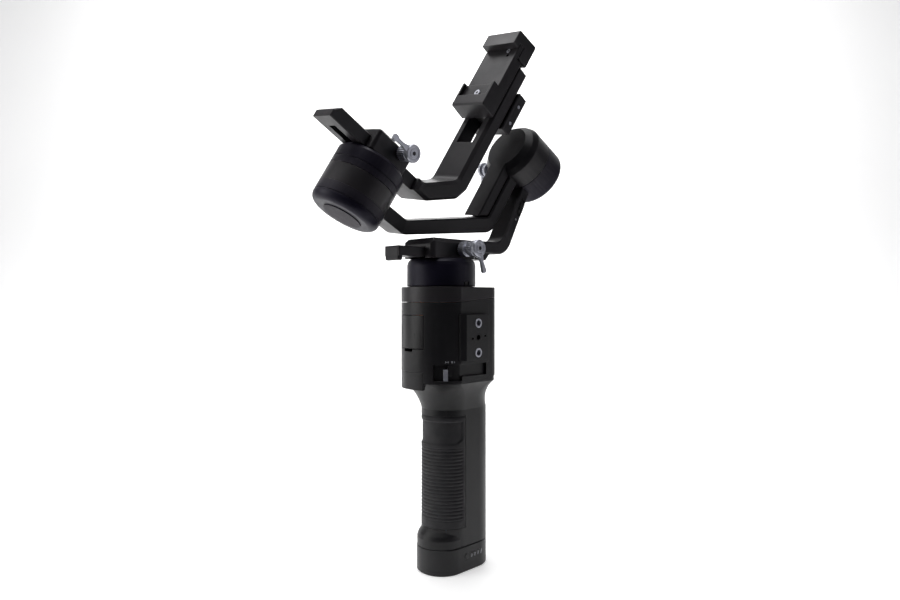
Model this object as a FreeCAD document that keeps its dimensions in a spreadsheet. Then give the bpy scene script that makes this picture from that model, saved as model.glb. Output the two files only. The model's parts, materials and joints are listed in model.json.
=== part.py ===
import FreeCAD, Part
import math
import os
import types

import Sketcher

# A hand-held three-axis camera gimbal, in millimetres, +Z up.
# The origin is on the ground plane under the vertical pan axis. The front of
# the handle (trigger side) faces -Y, the accessory mount faces +X.
# From the ground up: battery grip, handle body, pan motor, pan arm, roll motor,
# roll arm, tilt motor, tilt arm, and the clamp that carries the camera.

V = FreeCAD.Vector
doc = FreeCAD.newDocument("camera_gimbal")

# ---------------------------------------------------------------- dimensions
DRIVING = [
    # grip
    ("grip_half", 17.5, "half width of the grip across X"),
    ("grip_front", -12.5, "front of the grip, Y"),
    ("grip_back", 37.5, "back of the grip, Y"),
    ("grip_flare", 112.0, "height where the grip starts to widen"),
    ("grip_top", 131.5, "top of the grip, where the body starts"),
    ("base_top", 18.0, "top of the battery base cap"),
    ("lip_front", -16.8, "front of the base lip, Y"),
    ("skin", 1.5, "thickness of the rubber pads"),
    # handle body
    ("body_front_radius", 28.0, "front half of the body, round about the pan axis"),
    ("body_half", 27.0, "half width of the body across X"),
    ("body_back", 30.9, "flat back of the body, Y"),
    ("body_corner", 8.0, "rounding of the two back corners"),
    ("body_wall", 2.4, "wall of the hollow body"),
    ("seam_height", 186.0, "seam between body and collar, at the front"),
    ("seam_rise", 2.6, "how far the seams climb towards the back"),
    ("body_top", 196.5, "top of the collar"),
    ("panel_side", 19.5, "front edge of the back panel, Y"),
    # motors
    ("motor_radius", 24.0, "outer radius of all three motors"),
    ("shaft_radius", 4.0, "radius of the motor shafts"),
    ("shaft_play", 0.05, "radial running clearance of the shafts"),
    ("bearing_radius", 8.0, "outer radius of the bearings"),
    # axes
    ("roll_incline", 28.5, "slope of the roll axis, degrees"),
    ("roll_rest", 81.0, "roll angle of the stored pose, degrees"),
    ("tilt_rest", 3.7, "tilt angle of the stored pose, degrees"),
    ("cross_y", -11.9, "Y of the point where roll and tilt axes cross"),
    ("cross_z", 350.3, "height of that point"),
    # pan head and pan arm
    ("rotor_base", 197.0, "underside of the turning pan housing"),
    ("rotor_top", 216.0, "top of the pan housing"),
    ("head_top", 229.6, "top of the pan clamp"),
    ("rail_half", 7.6, "half width of the pan rail"),
    ("rail_top", 223.2, "top of the pan rail"),
    ("rail_front", -45.0, "front end of the pan rail, Y"),
    ("pan_arm_half", 8.2, "half width of the pan arm"),
    ("pan_arm_low", 221.6, "underside of the level part of the pan arm"),
    ("pan_arm_high", 230.6, "top of the level part of the pan arm"),
    ("pan_arm_near", 116.2, "near face of the pan arm, along the roll axis"),
    ("pan_arm_far", 125.4, "far face of the pan arm, along the roll axis"),
    ("roll_motor_end", 136.5, "far end of the roll motor, along the roll axis"),
    # roll arm
    ("cover_near", 93.0, "near face of the roll arm cover, along the roll axis"),
    ("arm_near", 101.5, "near face of the roll arm"),
    ("arm_far", 111.0, "far face of the roll arm"),
    ("arm_half", 10.0, "half width of the roll arm"),
    ("cover_half", 8.5, "half width of the roll arm cover"),
    ("arm_inner", -101.7, "inner face of the arm at the tilt motor, along the tilt axis"),
    ("arm_outer", -111.5, "outer face of the arm at the tilt motor"),
    ("arm_elbow", -66.0, "height of the outer elbow along the tilt axis"),
    ("arm_knee", 42.5, "second elbow, along the roll axis"),
    # tilt motor
    ("tilt_seam", -98.0, "seam between the still and turning halves"),
    ("tilt_ring", -92.8, "top of the turning ring"),
    ("tilt_top", -83.0, "top of the turning half"),
    ("tilt_end", -124.5, "end cap of the tilt motor"),
    # tilt arm
    ("slot_rail_low", -82.6, "lower face of the slotted rail"),
    ("slot_rail_high", -73.2, "upper face of the slotted rail"),
    ("slot_rail_half", 10.3, "half width of the slotted rail"),
    ("plate_near", 59.0, "near face of the camera plate arm"),
    ("plate_far", 71.2, "far face of the camera plate arm"),
    ("plate_half", 15.4, "half width of the camera plate arm"),
    ("plate_end", 49.8, "free end of the camera plate arm"),
    # camera clamp
    ("clamp_half", 16.6, "half width of the camera clamp"),
    ("jaw_tip", 44.2, "tips of the jaws"),
    ("bed", 49.3, "bed between the jaws"),
    ("clamp_gap", 0.3, "gap between a clamp and the rail it holds"),
    ("lever_radius", 6.0, "radius of the clamp levers' discs"),
    ("quarter_inch", 3.175, "radius of the 1/4 inch threads"),
    ("insert_bore", 2.0, "radius of the threaded inserts"),
]

sheet = doc.addObject("Spreadsheet::Sheet", "dims")
for row, (alias, value, meaning) in enumerate(DRIVING, start=1):
    sheet.set("A%d" % row, meaning)
    sheet.set("B%d" % row, str(value))
    sheet.setAlias("B%d" % row, alias)
doc.recompute()


class Size:
    """A length that also carries the sheet formula it comes from."""

    def __init__(self, value, text):
        self.value = float(value)
        self.text = text

    def __add__(self, other):
        other = sized(other)
        return Size(self.value + other.value, "(%s + %s)" % (self.text, other.text))

    def __sub__(self, other):
        other = sized(other)
        return Size(self.value - other.value, "(%s - %s)" % (self.text, other.text))

    def __rsub__(self, other):
        return sized(other) - self

    def __mul__(self, factor):
        return Size(self.value * factor, "(%s * %s)" % (self.text, factor))

    def __neg__(self):
        return Size(-self.value, "(0 - %s)" % self.text)


def sized(number):
    """Plain numbers become sizes whose formula is the number itself."""
    if isinstance(number, Size):
        return number
    return Size(number, "(%s)" % number)


dim = types.SimpleNamespace(
    **{alias: Size(value, "dims." + alias) for alias, value, meaning in DRIVING}
)


def bind(thing, name, size):
    """Drive one property of an object from the sheet."""
    thing.setExpression(name, sized(size).text)


# -------------------------------------------------------------------- frames
def frame(origin, x_axis, y_axis):
    """Placement whose local X and Y point along the two given directions."""
    z_axis = x_axis.cross(y_axis)
    return FreeCAD.Placement(
        FreeCAD.Matrix(
            x_axis.x, y_axis.x, z_axis.x, origin.x,
            x_axis.y, y_axis.y, z_axis.y, origin.y,
            x_axis.z, y_axis.z, z_axis.z, origin.z,
            0, 0, 0, 1,
        )
    )


def about(axis, angle_deg, vector):
    return FreeCAD.Rotation(axis, angle_deg).multVec(vector)


slope = math.radians(dim.roll_incline.value)
cross = V(0, dim.cross_y.value, dim.cross_z.value)
roll_back = V(0, math.cos(slope), -math.sin(slope))
tilt_axis = about(-roll_back, dim.roll_rest.value, V(1, 0, 0))
plate_back = about(tilt_axis, dim.tilt_rest.value, roll_back)

WORLD = FreeCAD.Placement()
# Side view of the pan arm: local X is back, local Y is up, local Z is world +X.
SIDE = frame(V(0, 0, 0), V(0, 1, 0), V(0, 0, 1))
# Roll arm: local X runs back along the roll axis, local Y along the tilt axis.
YOKE = frame(cross, roll_back, tilt_axis)
# Tilt arm: local X runs back towards the camera plate, local Y along the tilt axis.
CRADLE = frame(cross, plate_back, tilt_axis)
# Tilt clamp, seen from above: local X runs across the arm, local Z along the tilt axis.
CLAMP_TOP = frame(cross, plate_back.cross(tilt_axis), plate_back)
# Turned parts: local Z is the turning axis.
ROLL_SPIN = frame(cross, tilt_axis, roll_back.cross(tilt_axis))
TILT_SPIN = frame(cross, roll_back.cross(tilt_axis), roll_back)

nodes = {}


def keep(label, thing):
    """Register an object as a separate sub-part; its label names its file."""
    thing.Label = label
    nodes[label] = thing
    return thing


# --------------------------------------------------------------- PartDesign
def origin_plane(body, role):
    return [item for item in body.Origin.OriginFeatures if item.Role == role][0]


def new_body(name, place):
    body = doc.addObject("PartDesign::Body", name)
    body.Placement = place
    return body


def new_sketch(body, name, role="XY_Plane", lift=0):
    sketch = body.newObject("Sketcher::SketchObject", name)
    sketch.AttachmentSupport = (origin_plane(body, role), "")
    sketch.MapMode = "FlatFace"
    bind(sketch, "AttachmentOffset.Base.z", lift)
    return sketch


def add_polygon(sketch, corners):
    """Closed outline whose corners are all driven by the sheet."""
    first = sketch.GeometryCount
    count = len(corners)
    corners = [(sized(x), sized(y)) for x, y in corners]
    points = [V(x.value, y.value, 0) for x, y in corners]
    for index in range(count):
        sketch.addGeometry(Part.LineSegment(points[index], points[(index + 1) % count]), False)
    for index in range(count):
        after = first + (index + 1) % count
        sketch.addConstraint(Sketcher.Constraint("Coincident", first + index, 2, after, 1))
    for index, (x, y) in enumerate(corners):
        line = first + index
        across = sketch.addConstraint(Sketcher.Constraint("DistanceX", -1, 1, line, 1, x.value))
        sketch.setExpression("Constraints[%d]" % across, x.text)
        upward = sketch.addConstraint(Sketcher.Constraint("DistanceY", -1, 1, line, 1, y.value))
        sketch.setExpression("Constraints[%d]" % upward, y.text)


def add_circle(sketch, x, y, radius):
    """Circle whose centre and radius are driven by the sheet."""
    x, y, radius = sized(x), sized(y), sized(radius)
    circle = sketch.addGeometry(Part.Circle(V(x.value, y.value, 0), V(0, 0, 1), radius.value), False)
    for kind, size in (("DistanceX", x), ("DistanceY", y)):
        index = sketch.addConstraint(Sketcher.Constraint(kind, -1, 1, circle, 3, size.value))
        sketch.setExpression("Constraints[%d]" % index, size.text)
    index = sketch.addConstraint(Sketcher.Constraint("Radius", circle, radius.value))
    sketch.setExpression("Constraints[%d]" % index, radius.text)


def upright_edges(shape, corners):
    """Names of the edges along local Z that stand on the given corners."""
    found = []
    for index, edge in enumerate(shape.Edges, start=1):
        start, end = edge.Vertexes[0].Point, edge.Vertexes[-1].Point
        if abs(start.x - end.x) > 1e-4 or abs(start.y - end.y) > 1e-4:
            continue
        if any(abs(start.x - x) < 1e-3 and abs(start.y - y) < 1e-3 for x, y in corners):
            found.append("Edge%d" % index)
    return found


def level_edges(shape, height):
    """Names of the edges that lie in the plane z = height."""
    found = []
    for index, edge in enumerate(shape.Edges, start=1):
        box = edge.BoundBox
        if abs(box.ZMin - height) < 1e-3 and abs(box.ZMax - height) < 1e-3:
            found.append("Edge%d" % index)
    return found


def dress(body, kind, base, edges, size):
    """Fillet or chamfer on named edges."""
    feature = body.newObject("PartDesign::" + kind, body.Name + "_" + kind.lower())
    feature.Base = (base, edges)
    bind(feature, "Radius" if kind == "Fillet" else "Size", size)
    doc.recompute()
    return feature


def plate(name, place, corners, low, high, rounds=(), soften=0, circles=()):
    """Flat outline in local XY, padded from low to high along local Z.

    rounds: pairs of corner index and radius. soften: size of the chamfer
    round both flat faces. circles: holes through the plate.
    """
    body = new_body(name, place)
    sketch = new_sketch(body, name + "_outline", lift=low)
    add_polygon(sketch, corners)
    for x, y, radius in circles:
        add_circle(sketch, x, y, radius)
    pad = body.newObject("PartDesign::Pad", name + "_pad")
    pad.Profile = sketch
    bind(pad, "Length", sized(high) - low)
    doc.recompute()
    last = pad
    for index, radius in rounds:
        x, y = corners[index]
        edges = upright_edges(last.Shape, [(sized(x).value, sized(y).value)])
        last = dress(body, "Fillet", last, edges, radius)
    if soften:
        edges = level_edges(last.Shape, sized(high).value) + level_edges(last.Shape, sized(low).value)
        last = dress(body, "Chamfer", last, edges, soften)
    return body


def turned(name, place, corners, rounds=()):
    """Profile of radius and height, turned about local Z."""
    body = new_body(name, place)
    sketch = new_sketch(body, name + "_profile", role="XZ_Plane")
    add_polygon(sketch, corners)
    turn = body.newObject("PartDesign::Revolution", name + "_turn")
    turn.Profile = sketch
    turn.ReferenceAxis = (sketch, ["V_Axis"])
    turn.Angle = 360
    doc.recompute()
    last = turn
    for radius, height, size in rounds:
        edges = rim_edges(last.Shape, sized(radius).value, sized(height).value)
        last = dress(body, "Fillet", last, edges, size)
    return body


def rim_edges(shape, radius, height):
    """Names of the circular edges of one radius at one height."""
    found = []
    for index, edge in enumerate(shape.Edges, start=1):
        curve = edge.Curve
        if not isinstance(curve, Part.Circle):
            continue
        if abs(curve.Radius - radius) < 1e-3 and abs(curve.Center.z - height) < 1e-3:
            found.append("Edge%d" % index)
    return found


# ---------------------------------------------------------- Part primitives
def cylinder(name, place, x, y, radius, low, high):
    """Cylinder along local Z."""
    thing = doc.addObject("Part::Cylinder", name)
    bind(thing, "Radius", radius)
    bind(thing, "Height", sized(high) - low)
    x, y, low = sized(x).value, sized(y).value, sized(low).value
    thing.Placement = place.multiply(FreeCAD.Placement(V(x, y, low), FreeCAD.Rotation()))
    return thing


def peg(name, start, direction, radius, length):
    """Cylinder from a point of the row along a direction."""
    thing = doc.addObject("Part::Cylinder", name)
    bind(thing, "Radius", radius)
    bind(thing, "Height", length)
    thing.Placement = FreeCAD.Placement(start, FreeCAD.Rotation(V(0, 0, 1), direction))
    return thing


def block(name, place, x, y, z):
    """Box between pairs of local limits."""
    thing = doc.addObject("Part::Box", name)
    for side, (low, high) in (("Length", x), ("Width", y), ("Height", z)):
        bind(thing, side, sized(high) - low)
    corner = V(sized(x[0]).value, sized(y[0]).value, sized(z[0]).value)
    thing.Placement = place.multiply(FreeCAD.Placement(corner, FreeCAD.Rotation()))
    return thing


def fused(name, things):
    thing = doc.addObject("Part::MultiFuse", name)
    thing.Shapes = list(things)
    thing.Refine = True
    return thing


def cut(name, base, tools):
    tool = tools[0] if len(tools) == 1 else fused(name + "_tools", tools)
    thing = doc.addObject("Part::Cut", name)
    thing.Base = base
    thing.Tool = tool
    thing.Refine = True
    return thing


def common(name, one, other):
    thing = doc.addObject("Part::Common", name)
    thing.Base = one
    thing.Tool = other
    return thing


def group(label, things):
    """Several equal solids that share one node."""
    thing = doc.addObject("Part::Compound", label)
    thing.Links = list(things)
    return keep(label, thing)


def along(place, x, y, z):
    """Point of the row at local coordinates."""
    return place.multVec(V(sized(x).value, sized(y).value, sized(z).value))


def axis_of(place, x, y, z):
    return place.Rotation.multVec(V(x, y, z))


# ------------------------------------------------------------------ outlines
def grip_section(name, low, high, inset=0.0):
    """Long round-ended bar, upright, shrunk by inset."""
    half = dim.grip_half - inset
    radius = half - 0.4
    corners = [
        (-half, dim.grip_front + inset),
        (half, dim.grip_front + inset),
        (half, dim.grip_back - inset),
        (-half, dim.grip_back - inset),
    ]
    return plate(name, WORLD, corners, low, high, rounds=[(i, radius) for i in range(4)])


def body_wire(height, inset=0.0):
    """Outline of the handle body: round front, flat sides, soft back corners."""
    radius = dim.body_front_radius.value - inset
    half = dim.body_half.value - inset
    back = dim.body_back.value - inset
    corner = max(dim.body_corner.value - inset, 1.0)
    start_y = -math.sqrt(radius ** 2 - half ** 2)
    slant = corner * (1 - math.sqrt(0.5))
    front = Part.Arc(V(-half, start_y, height), V(0, -radius, height), V(half, start_y, height))
    right = Part.LineSegment(V(half, start_y, height), V(half, back - corner, height))
    right_corner = Part.Arc(
        V(half, back - corner, height),
        V(half - slant, back - slant, height),
        V(half - corner, back, height),
    )
    rear = Part.LineSegment(V(half - corner, back, height), V(-half + corner, back, height))
    left_corner = Part.Arc(
        V(-half + corner, back, height),
        V(-half + slant, back - slant, height),
        V(-half, back - corner, height),
    )
    left = Part.LineSegment(V(-half, back - corner, height), V(-half, start_y, height))
    edges = [curve.toShape() for curve in (front, right, right_corner, rear, left_corner, left)]
    return Part.Wire(edges)


def body_prism(name, low, high, inset=0.0):
    """Upright solid on the body outline."""
    low, high = sized(low).value, sized(high).value
    thing = doc.addObject("Part::Feature", name)
    thing.Shape = Part.Face(body_wire(low, inset)).extrude(V(0, 0, high - low))
    return thing


def seam_wedge(name, level, above, play=0.0):
    """Everything above or below a seam: level at the front, climbing towards the back."""
    level = sized(level).value + (play if above else -play)
    reach, start, bound = 40.0, -10.0, 60.0 if above else -60.0
    climb = dim.seam_rise.value * 1.7
    points = [
        V(-reach, -reach, level), V(-reach, start, level), V(-reach, reach, level + climb),
        V(-reach, reach, level + bound), V(-reach, -reach, level + bound),
    ]
    thing = doc.addObject("Part::Feature", name)
    thing.Shape = Part.Face(Part.makePolygon(points + points[:1])).extrude(V(2 * reach, 0, 0))
    return thing


# ---------------------------------------------------------------------- grip
def build_grip():
    top = dim.grip_top
    flare = doc.addObject("Part::Feature", "grip_flare_shape")
    lower = grip_loft_wire(dim.grip_flare.value)
    middle = grip_loft_wire(dim.grip_flare.value + 7.0, 1.8)
    flare.Shape = Part.makeLoft([lower, middle, body_wire(top.value, 0.6)], True, False)
    shank = grip_section("grip_shank", dim.base_top + 0.2, dim.grip_flare + 0.01)
    # Lip that swells forward at the lower front.
    lip_radius = dim.grip_half - 0.2
    lip_place = frame(V(0, (dim.lip_front + lip_radius).value, 0), V(1, 0, 0), V(0, 1, 0))
    lip = turned("grip_lip", lip_place, [
        (0, dim.base_top + 0.2), (lip_radius, dim.base_top + 0.2), (lip_radius, 23.5),
        (lip_radius - 0.9, 26.4), (lip_radius - 2.6, 28.8),
        (lip_radius - dim.grip_front + dim.lip_front, 30.9),
        (0, 30.9)])
    hollow = block("battery_bay", WORLD, (-12.5, 12.5), (-7.5, 31.5), (dim.base_top - 1, 112.0))
    neck = block("contact_bay", WORLD, (-10, 10), (2, 24), (111, top + 7))
    front_recess = pad_shape("front_recess", (-20, 6.5), (31, 108))
    back_recess = pad_shape("back_recess", (30.5, 40), (26, 108))
    skirt_gap = sector("skirt_gap", 24.2, 34.0, 126.8, top + 7, -163, -69.8)
    brim = body_prism("grip_brim", top - 0.01, top + 6, 0.6)
    shell = fused("grip_solid", [flare, brim, shank, lip])
    above_seam = seam_wedge("above_grip_seam", top, True)
    tools = [hollow, neck, front_recess, back_recess, skirt_gap, above_seam]
    keep("grip_shell", cut("grip_shell", shell, tools))

    keep("grip_front_pad", pad_shape("grip_front_pad", (-20, 6.4), (31.1, 107.9)))
    keep("grip_back_strip", pad_shape("grip_back_strip", (30.6, 40), (26.1, 107.9)))

    base_outer = plate(
        "base_outer", WORLD,
        [(-dim.grip_half, dim.lip_front), (dim.grip_half, dim.lip_front),
         (dim.grip_half, dim.grip_back), (-dim.grip_half, dim.grip_back)],
        0, dim.base_top, rounds=[(i, dim.grip_half - 0.4) for i in range(4)], soften=0.8,
    )
    bore = cylinder("base_bore", WORLD, 0, 10.3, 6.0, -1, 13.0)
    relief = block("base_bay", WORLD, (-12.5, 12.5), (-7.5, 31.5), (14.5, dim.base_top + 1))
    led_slots = [led_block("led_slot_%d" % i, i, 0.05) for i in range(4)]
    button_hole = peg("base_button_hole", V(dim.grip_half.value - 2.2, 7.6, 10.4), V(1, 0, 0), 2.1, 4)
    keep("grip_base", cut("grip_base", base_outer, [bore, relief, button_hole] + led_slots))

    nut = cylinder("tripod_nut_body", WORLD, 0, 10.3, 5.98, 0.0, 12.9)
    thread = cylinder("tripod_thread", WORLD, 0, 10.3, dim.quarter_inch, -1, 11.5)
    keep("tripod_insert", cut("tripod_insert", nut, [thread]))

    group("battery_leds", [led_block("led_%d" % i, i, 0.0) for i in range(4)])
    button_seat = V(dim.grip_half.value - 1.3, 7.6, 10.4)
    keep("battery_button", peg("battery_button", button_seat, V(1, 0, 0), 1.9, 1.5))
    cells = [cylinder("cell_%d" % i, WORLD, 0, 2.2 + 19.4 * i, 9.2, 20.5, 85.5) for i in range(2)]
    group("battery_cells", cells)
    keep("battery_board", block("battery_board", WORLD, (-11, 11), (-5, 30), (88.0, 89.8)))
    keep("grip_contacts", block("grip_contacts", WORLD, (-9.8, 9.8), (2.2, 23.8), (112.2, 130.5)))


def grip_loft_wire(height, grow=0.0):
    """Grip outline with the same run of edges as the body outline."""
    half = dim.grip_half.value + grow
    front = dim.grip_front.value - grow * 1.6
    back = dim.grip_back.value - grow * 0.9
    centre = front + half
    corner = half - 0.4
    slant = corner * (1 - math.sqrt(0.5))
    pieces = [
        Part.Arc(V(-half, centre, height), V(0, front, height), V(half, centre, height)),
        Part.LineSegment(V(half, centre, height), V(half, back - corner, height)),
        Part.Arc(V(half, back - corner, height), V(half - slant, back - slant, height),
                 V(half - corner, back, height)),
        Part.LineSegment(V(half - corner, back, height), V(-half + corner, back, height)),
        Part.Arc(V(-half + corner, back, height), V(-half + slant, back - slant, height),
                 V(-half, back - corner, height)),
        Part.LineSegment(V(-half, back - corner, height), V(-half, centre, height)),
    ]
    return Part.Wire([piece.toShape() for piece in pieces])


def pad_shape(name, y_range, z_range):
    """Skin of the grip between two Y limits: outer bar less an inner bar."""
    outer = grip_section(name + "_outer", z_range[0], z_range[1])
    inner = grip_section(name + "_inner", z_range[0] - 1, z_range[1] + 1, dim.skin.value)
    ring = cut(name + "_ring", outer, [inner])
    window = block(name + "_window", WORLD, (-25, 25), y_range, (z_range[0] - 1, z_range[1] + 1))
    return common(name, ring, window)


def led_block(name, index, play):
    """One of four upright light windows low on the +X side."""
    y = 12.2 + 3.1 * index
    side = dim.grip_half.value
    return block(name, WORLD, (side - 1.2, side - 0.02 + play * 20), (y - play, y + 1.1 + play),
                 (9.0 - play, 12.4 + play))


def sector(name, inner, outer, low, high, start_deg, end_deg):
    """Slice of a ring round the pan axis, between two angles from +X."""
    inner, outer = sized(inner).value, sized(outer).value
    low, high = sized(low).value, sized(high).value
    slices = [
        Part.makeCylinder(radius, high - low, V(0, 0, low), V(0, 0, 1), end_deg - start_deg)
        for radius in (outer, inner)
    ]
    ring = slices[0].cut(slices[1])
    ring.rotate(V(0, 0, 0), V(0, 0, 1), start_deg)
    thing = doc.addObject("Part::Feature", name)
    thing.Shape = ring
    return thing


# ---------------------------------------------------------------------- body
def build_body():
    side = dim.body_half
    seam_room = dim.seam_rise + 1.5
    outer = body_prism("body_outer", dim.grip_top, dim.seam_height + seam_room)
    inner = body_prism("body_inner", dim.grip_top + 6, dim.seam_height + 5, dim.body_wall.value)
    below = seam_wedge("below_body", dim.grip_top + 0.2, False)
    above = seam_wedge("above_body", dim.seam_height, True)
    panel_cut = panel_region("panel_cut", 0.0)
    slot = lock_track("lock_track_cut", 136.6, 144.6)
    knob_bay = sector("knob_bay", 26.1, 30, 133.6, 144.6, -55, -14)
    trigger_bay = sector("trigger_bay", 24.0, 30, 154.4, 177.6, -115.3, -68.7)
    notch = sector("trigger_notch", 24.0, 30, 152.8, 154.5, -107.0, -88.0)
    skirt = sector("skirt_bay", 24.4, 30, 130, 139.2, -163, -69.8)
    usb_bay = block("usb_bay", WORLD, (-side - 1, -side + 2.0), (-4.2, 6.2), (148.8, 157.2))
    power_bay = peg("power_bay", V(-side.value - 1, 1, 170), V(1, 0, 0), 4.3, 3.0)
    mount_seat = block("mount_seat", WORLD, (side - 1.0, side + 1), (-9.1, 16.6), (146.9, 178.1))
    back_window = block("back_window", WORLD, (-14, 14), (26, 32), (144, 178))
    insert_holes = [
        peg("insert_hole_%d" % i, V(side.value - 4, 5.9, z), V(1, 0, 0), 3.12, 6)
        for i, z in enumerate((152.0, 172.0))
    ]
    tools = [inner, panel_cut, slot, knob_bay, trigger_bay, notch, skirt, usb_bay, power_bay, mount_seat,
             back_window, below, above]
    shell = cut("body_hollow", outer, tools)
    floor_hole = block("body_floor_hole", WORLD, (-10, 10), (2, 24), (130, 140))
    keep("body_shell", cut("body_shell", shell, [floor_hole] + insert_holes))

    keep("front_skirt", sector("front_skirt", 24.6, 27.9, 127.2, 139.0, -162.5, -70.2))

    panel_solid = panel_region("panel_solid", 0.1)
    holes = [
        peg("stick_hole", V(0, 25, 171), V(0, 1, 0), 5.2, 10),
        peg("mode_hole", V(-9, 25, 157), V(0, 1, 0), 3.3, 10),
        peg("record_hole", V(9, 25, 157), V(0, 1, 0), 3.3, 10),
        block("lights_hole", WORLD, (-6.1, 6.1), (29.8, 32), (147.4, 149.6)),
    ]
    ends = [
        seam_wedge("below_panel", dim.grip_top + 0.3, False),
        seam_wedge("above_panel", dim.seam_height - 0.1, True),
    ]
    keep("back_panel", cut("back_panel", panel_solid, holes + ends))

    collar = body_prism("collar_solid", dim.seam_height, dim.body_top)
    well = cylinder("collar_well", WORLD, 0, 0, 21.0, dim.seam_height - 1, dim.body_top + 1)
    under = seam_wedge("below_collar", dim.seam_height + 0.25, False)
    keep("collar", cut("collar", collar, [well, under]))

    mount = plate(
        "mount_solid", frame(V(0, 0, 146.9 + 0.05), V(1, 0, 0), V(0, 1, 0)),
        [(side - 0.95, -9.0), (side + 0.7, -9.0), (side + 3.2, -5.6), (side + 3.2, 16.5),
         (side - 0.95, 16.5)],
        0, 31.0,
    )
    bores = [
        peg("mount_bore_%d" % i, V(side.value - 3, 5.9, z), V(1, 0, 0), 3.12, 9)
        for i, z in enumerate((152.0, 172.0))
    ]
    pins = [
        peg("mount_pin_%d" % i, V(side.value + 1.0, y, z), V(1, 0, 0), r, 3)
        for i, (y, z, r) in enumerate(((0.4, 161.6, 0.9), (5.9, 162.4, 1.9), (12.6, 163.2, 0.9)))
    ]
    keep("accessory_mount", cut("accessory_mount", mount, bores + pins))
    inserts = []
    for i, z in enumerate((152.0, 172.0)):
        outside = peg("insert_%d_outer" % i, V(side.value - 3.9, 5.9, z), V(1, 0, 0), 3.1, 7.3)
        inside = peg("insert_%d_inner" % i, V(side.value - 3.0, 5.9, z), V(1, 0, 0), dim.insert_bore, 9)
        inserts.append(cut("insert_%d" % i, outside, [inside]))
    group("threaded_inserts", inserts)

    keep("control_board", block("control_board", WORLD, (-12, 12), (14, 15.6), (142, 176)))


def panel_region(name, play):
    """Back strip of the body wall: everything behind the side seams."""
    low, high = dim.grip_top.value, dim.seam_height.value + dim.seam_rise.value + 1.5
    outer = Part.Face(body_wire(low)).extrude(V(0, 0, high - low))
    inner = Part.Face(body_wire(low - 1, 2.0 - play)).extrude(V(0, 0, high - low + 2))
    edge = dim.panel_side.value + play
    behind = Part.makeBox(80, 40, high - low + 2, V(-40, edge, low - 1))
    thing = doc.addObject("Part::Feature", name)
    thing.Shape = outer.cut(inner).common(behind)
    return thing


def lock_track(name, low, high):
    """Shallow groove round the +X side of the body for the grip lock."""
    outer = Part.Face(body_wire(low, -1.0)).extrude(V(0, 0, high - low))
    inner = Part.Face(body_wire(low - 1, 1.9)).extrude(V(0, 0, high - low + 2))
    window = Part.makeBox(30, 38, high - low, V(17.0, -21.0, low))
    thing = doc.addObject("Part::Feature", name)
    thing.Shape = outer.cut(inner).common(window)
    return thing


# ------------------------------------------------------------------ controls
def build_controls():
    side = dim.body_half.value
    keep("trigger", sector("trigger", 24.4, 27.9, 155.0, 177.2, -114.2, -69.8))
    keep("lock_knob", sector("lock_knob", 26.3, 29.6, 134.2, 141.4, -41.0, -35.4))
    keep("lock_carrier", sector("lock_carrier", 26.3, 28.0, 137.2, 143.9, -35.2, -29.0))
    stick = V(0, dim.body_back.value, 171)
    ring_out = peg("stick_ring_out", stick + V(0, -1.9, 0), V(0, 1, 0), 5.1, 2.15)
    ring_in = peg("stick_ring_in", stick + V(0, -3, 0), V(0, 1, 0), 3.6, 6)
    keep("joystick_ring", cut("joystick_ring", ring_out, [ring_in]))
    keep("joystick_gimbal", block("joystick_gimbal", WORLD, (-2.0, 2.0), (27.2, 29.0), (169, 173)))
    post = peg("stick_post", stick + V(0, -1.7, 0), V(0, 1, 0), 1.4, 2.8)
    cap = peg("stick_cap", stick + V(0, 1.0, 0), V(0, 1, 0), 3.9, 1.7)
    keep("joystick_cap", fused("joystick_cap", [post, cap]))
    for label, x in (("mode_button", -9), ("record_button", 9)):
        keep(label, peg(label, V(x, dim.body_back.value - 1.8, 157), V(0, 1, 0), 3.2, 2.6))
    keep("power_button", peg("power_button", V(-side + 1.3, 1, 170), V(-1, 0, 0), 4.2, 1.9))
    lights = [
        block("light_%d" % i, WORLD, (-5.4 + 4.2 * i, -3.0 + 4.2 * i), (30.0, 30.85), (147.6, 149.4))
        for i in range(3)
    ]
    group("status_lights", lights)
    keep("usb_cover", block("usb_cover", WORLD, (-side + 0.1, -side + 1.7), (-4.1, 6.1), (148.9, 157.1)))


# ----------------------------------------------------------------------- pan
def bearing_seat():
    return dim.bearing_radius + 0.02


def bearing_pair(name, place, starts):
    """Two plain bearing rings on one shaft, each given by its low end."""
    inner, outer, width = dim.shaft_radius + dim.shaft_play, dim.bearing_radius, 4.0
    rings = [
        turned("%s_ring_%d" % (name, i), place, [
            (inner, low), (outer, low), (outer, low + width), (inner, low + width)])
        for i, low in enumerate(starts)
    ]
    group(name, rings)


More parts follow.
